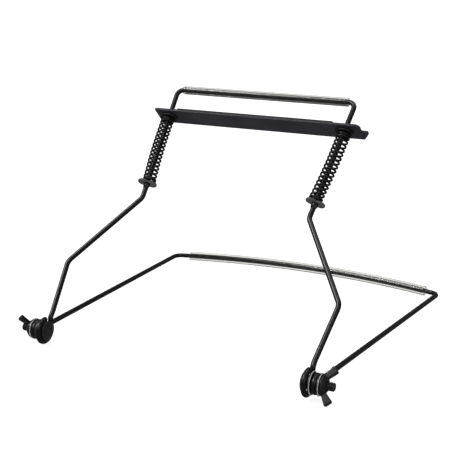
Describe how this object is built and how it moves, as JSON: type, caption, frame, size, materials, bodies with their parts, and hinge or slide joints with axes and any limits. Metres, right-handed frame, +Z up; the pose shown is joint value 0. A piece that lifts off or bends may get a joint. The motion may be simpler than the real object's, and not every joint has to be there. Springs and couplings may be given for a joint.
{
  "type": "harmonica holder",
  "caption": "Neck-worn harmonica holder: bent-wire yoke with a clear neck sleeve, tilting wire frame on wing-nut joints, and a spring-loaded clamp bar.",
  "frame": {"origin": "middle of the footprint, on the surface the holder stands on", "axes": "+X across the holder to the right-hand joint, +Y from the two joints back to the neck part, +Z up"},
  "size_m": [0.201, 0.213, 0.1395],
  "materials": {
    "wire": "satin black coated steel wire with soft highlights along its length",
    "plate": "semi-matt black coated sheet steel, slightly bluish, edges worn a little brighter",
    "fastener": "black zinc plated steel with bright rims",
    "spring": "black oxide spring wire, slightly oily",
    "clear_tube": "clear colourless soft PVC tube, glossy",
    "nylon": "black moulded nylon",
    "rubber": "thin black rubber strip"
  },
  "bodies": {
    "yoke": {"neck_yoke": "wire", "neck_sleeve": "clear_tube", "left_pivot_bolt": "fastener", "left_middle_washer": "fastener", "right_pivot_bolt": "fastener", "right_middle_washer": "fastener"},
    "upper_frame": {"upper_frame": "wire", "cross_rod_sleeve": "clear_tube", "left_spring_seat": "plate", "left_spring": "spring", "right_spring_seat": "plate", "right_spring": "spring"},
    "clamp_bar": {"clamp_bar": "plate", "bar_pad": "rubber", "left_bar_bush": "nylon", "right_bar_bush": "nylon"},
    "left_washer": {"left_outer_washer": "fastener"},
    "left_nut": {"left_wing_nut": "fastener"},
    "right_washer": {"right_outer_washer": "fastener"},
    "right_nut": {"right_wing_nut": "fastener"}
  },
  "joints": [
    {"name": "frame_tilt", "type": "hinge", "parent": "yoke", "child": "upper_frame", "pos_m": [0, -0.09837, 0.00948], "axis": [1, 0, 0], "range_deg": [-43, 130]},
    {"name": "bar_slide", "type": "slide", "parent": "upper_frame", "child": "clamp_bar", "axis": [0, 0.6921, 0.7218], "range_m": [-0.014, 0.014], "stiffness_N_per_m": 800, "deforming": ["left_spring", "right_spring"]},
    {"name": "left_nut_travel", "type": "slide", "parent": "yoke", "child": "left_washer", "axis": [-1, 0, 0], "range_m": [0, 0.0008]},
    {"name": "left_nut_turn", "type": "hinge", "parent": "left_washer", "child": "left_nut", "pos_m": [0, -0.09837, 0.00948], "axis": [-1, 0, 0], "range_deg": [0, 360]},
    {"name": "right_nut_travel", "type": "slide", "parent": "yoke", "child": "right_washer", "axis": [1, 0, 0], "range_m": [0, 0.0008]},
    {"name": "right_nut_turn", "type": "hinge", "parent": "right_washer", "child": "right_nut", "pos_m": [0, -0.09837, 0.00948], "axis": [1, 0, 0], "range_deg": [0, 360]}
  ],
  "couplings": [
    {"joint": "left_nut_turn", "follows": "left_nut_travel", "rad_per_m": 7854},
    {"joint": "right_nut_turn", "follows": "right_nut_travel", "rad_per_m": 7854}
  ]
}
